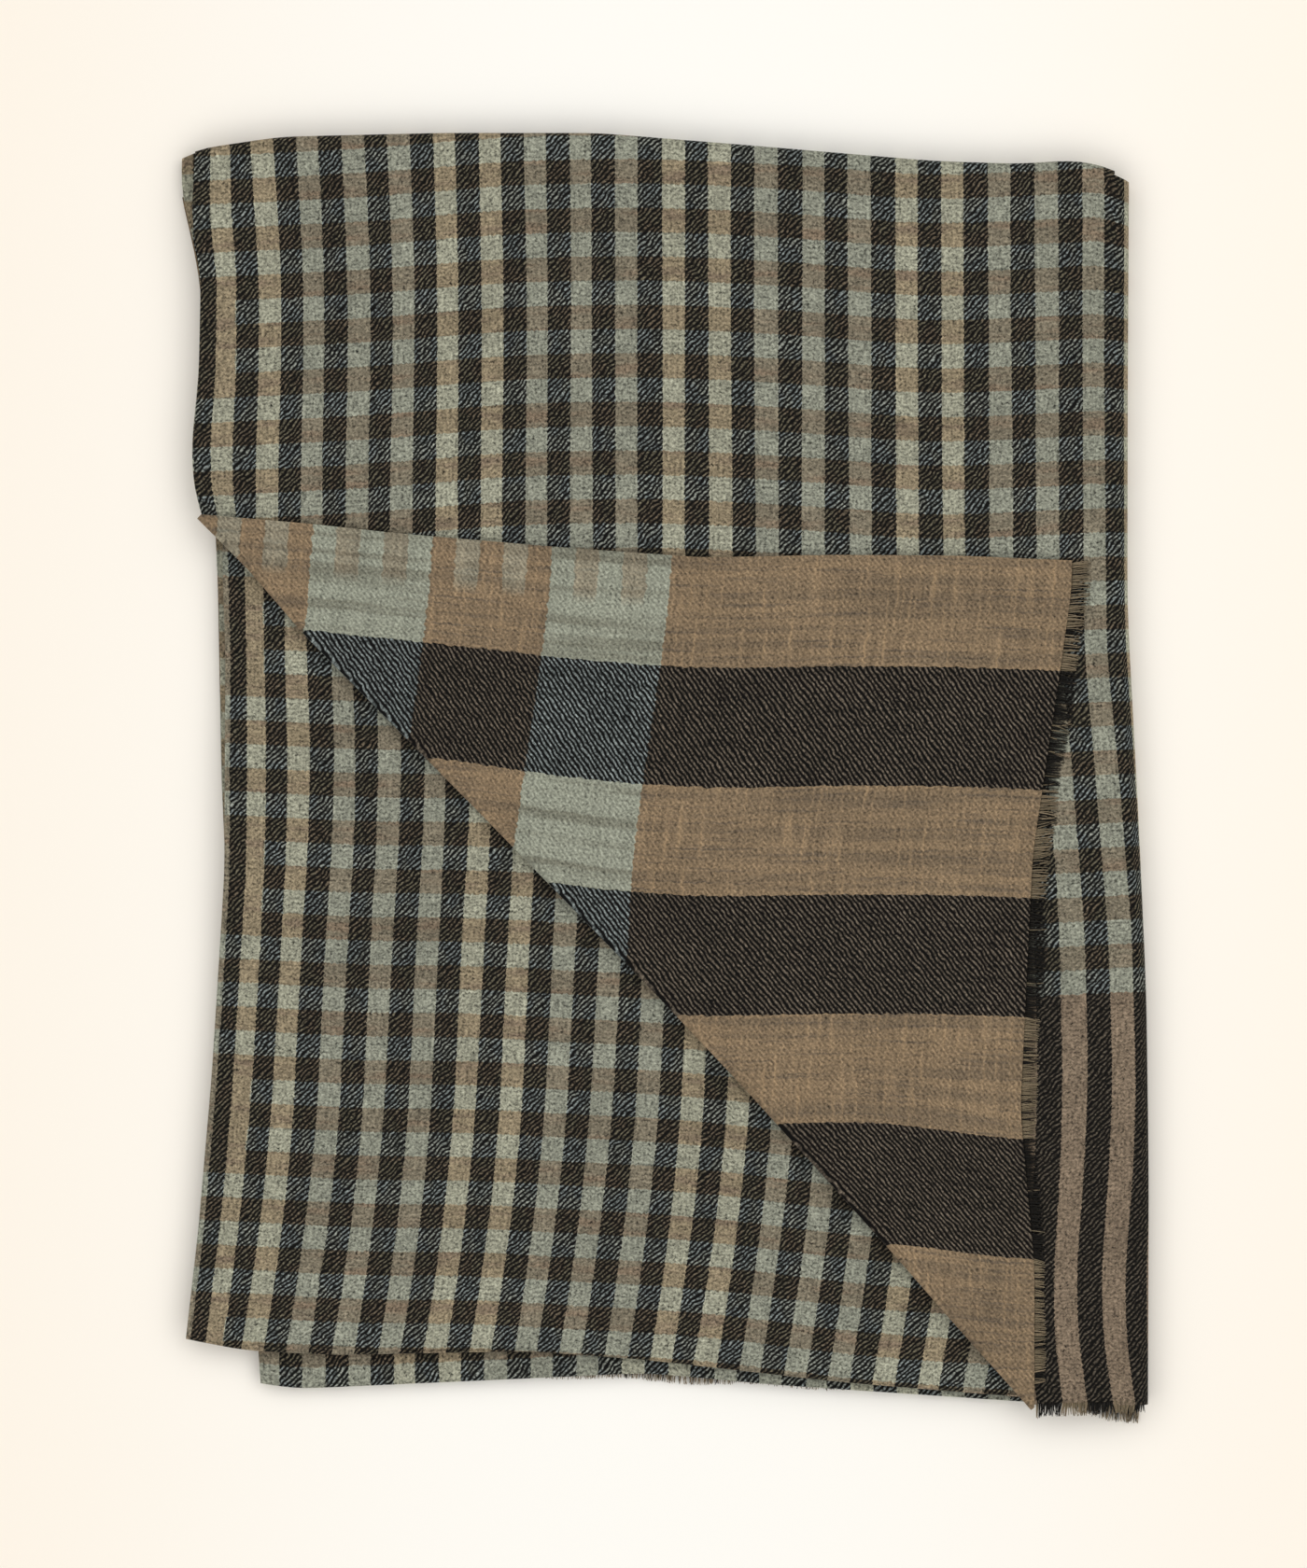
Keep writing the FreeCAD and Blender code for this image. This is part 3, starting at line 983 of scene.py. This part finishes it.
end_line = upright(CORNER_END, -322, 116.5, ROWS)
outwards = np.stack([np.ones(ROWS), -0.05 - 0.12 * np.sin(end_line[:, 1] / 23)], 1)
corner_fringe = fringe("Corner_fringe", "corner_fringe", end_line, outwards, "corner", 11.0, corner_shade,
                       "turned_corner", lift=0.9, shorter=0.62)
line = across(WOVEN_END, 198, 256, 40, 2.0)
end_fringe_upper = fringe("End_fringe", "end_fringe_upper", line, straight(line, (-0.04, -1)), "top", 7.5,
                          stripe_shade, "upper_half", pitch=0.42)
line = across(OUTER_END, -211, 255, COLUMNS, 3.0)
end_fringe_lower = fringe("End_fringe_lower", "end_fringe_lower", line, straight(line, (-0.06, -1)),
                          "outer_lower", 11.0, mostly_light, "lower_half", pitch=0.45)
inner_end = [(x, y - INNER_SETBACK) for x, y in TOP]
line = across(inner_end, -235, 236, COLUMNS)
inner_fringe_upper = fringe("Inner_fringe", "inner_fringe_upper", line, straight(line, (0, 1)), "inner_upper",
                            13.0, stripe_shade, "upper_half", pitch=1.2, wander=0.6)
line = across(inner_end, -250, 238, COLUMNS)
inner_fringe_lower = fringe("Inner_fringe_lower", "inner_fringe_lower", line, straight(line, (0, 1)),
                            "inner_lower", 13.0, stripe_shade, "lower_half", pitch=1.2, wander=0.6)


# ---------------------------------------------------------------- floor, light and camera

# Floor colour in the middle, and at its edges, where the colour is a painted fall-off of light
FLOOR_MIDDLE = rgb(250, 248, 243)
FLOOR_EDGE_PAINTED_SHADE = rgb(250, 241, 228)
FLOOR_HALF = 15.0
# Just under the lowest cloth
FLOOR_HEIGHT = -0.4


def floor_material():
    """Pale paper with a painted fall-off of light: a little warmer and darker away from the middle, and
    sooner to the sides.
    """
    net = Surface("floor", 0.9, 0.0, specular=0.0)
    place = net.nodes.new("ShaderNodeTexCoord")
    x, y, _ = net.split(place.outputs["Object"])
    painted_shade_spread = (x * x * 8.0 + y * y * 0.5).do("SQRT")
    return net.finish(net.mix(painted_shade_spread.ramp(0.2, 1.3), FLOOR_MIDDLE, FLOOR_EDGE_PAINTED_SHADE))


floor_mesh = bpy.data.meshes.new("floor")
square = [(-FLOOR_HALF, -FLOOR_HALF, 0), (FLOOR_HALF, -FLOOR_HALF, 0), (FLOOR_HALF, FLOOR_HALF, 0),
          (-FLOOR_HALF, FLOOR_HALF, 0)]
floor_mesh.from_pydata(square, [], [(0, 1, 2, 3)])
floor = bpy.data.objects.new("floor", floor_mesh)
floor.location.z = FLOOR_HEIGHT * MM
floor_mesh.materials.append(floor_material())
bpy.context.scene.collection.objects.link(floor)

# Sky strength everywhere, and what is added in a ring of softboxes. The ring's edges are
# given by how much a direction points up: it starts at 7 to 21 degrees, and ends at 26 to 50
SKY_REST = 0.24
SKY_RING = 2.32
RING_START = (0.12, 0.36)
RING_END = (0.44, 0.76)
world = bpy.data.worlds.new("studio")
world.use_nodes = True
background = world.node_tree.nodes["Background"]
background.inputs[0].default_value = (1.0, 0.99, 0.97, 1)
sky = Net(world.node_tree)
direction = sky.nodes.new("ShaderNodeTexCoord")
_, _, up = sky.split(direction.outputs["Generated"])
ring = up.ramp(*RING_START) * up.ramp(*RING_END).invert()
feed(sky, ring * SKY_RING + SKY_REST, background.inputs[1])
bpy.context.scene.world = world


def soft_light(name, place, size, power):
    """Square light at a place in metres, turned to the middle of the throw."""
    data = bpy.data.lights.new(name, "AREA")
    data.shape = "SQUARE"
    data.size = size
    data.energy = power
    obj = bpy.data.objects.new(name, data)
    obj.location = place
    obj.rotation_euler = (-obj.location).to_track_quat("-Z", "Y").to_euler()
    bpy.context.scene.collection.objects.link(obj)


soft_light("key", (1.0, 1.0, 2.0), 1.2, 5)
soft_light("fill", (-0.4, -1.2, 2.4), 2.2, 4)

# The photograph's field at the top layer, and its middle, in metres
FIELD_HEIGHT = 0.8366
FIELD_MIDDLE = (-0.006, -0.0017)
LENS = 100.0
SENSOR = 36.0
camera_data = bpy.data.cameras.new("camera")
camera_data.lens = LENS
camera_data.sensor_width = SENSOR
camera = bpy.data.objects.new("camera", camera_data)
camera.location = (*FIELD_MIDDLE, FIELD_HEIGHT * LENS / SENSOR + Z["top"] * MM)
bpy.context.scene.collection.objects.link(camera)
bpy.context.scene.camera = camera
bpy.context.scene.view_settings.view_transform = "Standard"

bpy.context.view_layer.update()
